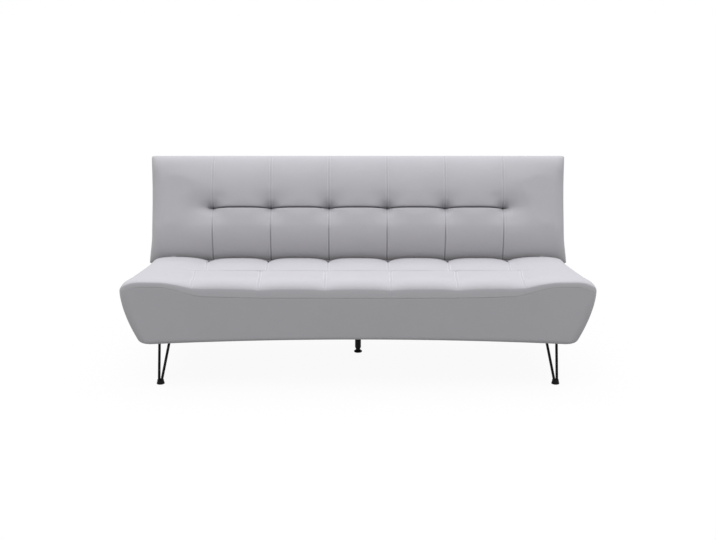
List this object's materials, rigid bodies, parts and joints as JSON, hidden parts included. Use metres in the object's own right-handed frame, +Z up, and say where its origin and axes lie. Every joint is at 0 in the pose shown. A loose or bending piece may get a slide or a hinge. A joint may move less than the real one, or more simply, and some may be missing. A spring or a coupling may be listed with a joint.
{
  "type": "click clack sofa bed",
  "caption": "Armless upholstered sofa bed with tufted seat and backrest, ratchet hinges that let the backrest lie flat, hairpin legs and a centre leg.",
  "frame": {"origin": "on the floor under the middle of the sofa's bounding box, with the backrest up", "axes": "+X along the sofa's width, -Y towards the front, +Z up"},
  "size_m": [1.8566, 0.8282, 0.8248],
  "materials": {
    "upholstery": "smooth light grey woven cover, matt",
    "webbing": "elastic webbing",
    "lining": "black non-woven lining",
    "timber": "planed softwood, unfinished",
    "black_steel": "black powder coat, satin",
    "zinc_steel": "zinc plated pressed steel",
    "black_plastic": "moulded, matt"
  },
  "bodies": {
    "seat": {"base_beam_centre": "timber", "base_beam_left": "timber", "base_beam_rear": "timber", "base_beam_right": "timber", "centre_leg": "black_steel", "centre_leg_glide": "black_plastic", "dust_cover_left": "lining", "dust_cover_right": "lining", "hairpin_leg_front_left": "black_steel", "hairpin_leg_front_right": "black_steel", "hairpin_leg_rear_left": "black_steel", "hairpin_leg_rear_right": "black_steel", "hinge_rivet_left": "zinc_steel", "hinge_rivet_right": "zinc_steel", "hinge_seat_plate_left": "zinc_steel", "hinge_seat_plate_right": "zinc_steel", "leg_glide_front_left": "black_plastic", "leg_glide_front_right": "black_plastic", "leg_glide_rear_left": "black_plastic", "leg_glide_rear_right": "black_plastic", "pawl_rivet_left": "zinc_steel", "pawl_rivet_right": "zinc_steel", "seat_border_front": "upholstery", "seat_border_left": "upholstery", "seat_border_rear": "upholstery", "seat_border_right": "upholstery", "seat_pad": "upholstery", "seat_rail_front": "timber", "seat_rail_left": "timber", "seat_rail_rear": "timber", "seat_rail_right": "timber", "seat_strap_1": "webbing", "seat_strap_2": "webbing", "seat_strap_3": "webbing", "seat_strap_4": "webbing", "seat_strap_5": "webbing", "seat_strap_6": "webbing"},
    "backrest": {"back_border_bottom": "upholstery", "back_border_left": "upholstery", "back_border_right": "upholstery", "back_border_top": "upholstery", "back_centre_stile": "timber", "back_pad": "upholstery", "back_rail_bottom": "timber", "back_rail_left": "timber", "back_rail_right": "timber", "back_rail_top": "timber", "back_rear_panel": "upholstery", "back_strap_1": "webbing", "back_strap_2": "webbing", "back_strap_3": "webbing", "back_strap_4": "webbing", "back_strap_5": "webbing", "hinge_back_plate_left": "zinc_steel", "hinge_back_plate_right": "zinc_steel"},
    "pawl_left": {"ratchet_pawl_left": "zinc_steel"},
    "pawl_right": {"ratchet_pawl_right": "zinc_steel"}
  },
  "joints": [
    {"name": "backrest_recline", "type": "hinge", "parent": "seat", "child": "backrest", "pos_m": [0, 0.16087, 0.363], "axis": [-1, 0, 0], "range_deg": [-13, 72]},
    {"name": "pawl_left_lift", "type": "hinge", "parent": "seat", "child": "pawl_left", "pos_m": [-0.798, 0.13487, 0.311], "axis": [1, 0, 0], "range_deg": [0, 10], "stiffness_Nm_per_rad": 0.3, "springref_deg": -20.05},
    {"name": "pawl_right_lift", "type": "hinge", "parent": "seat", "child": "pawl_right", "pos_m": [0.798, 0.13487, 0.311], "axis": [1, 0, 0], "range_deg": [0, 10], "stiffness_Nm_per_rad": 0.3, "springref_deg": -20.05}
  ]
}
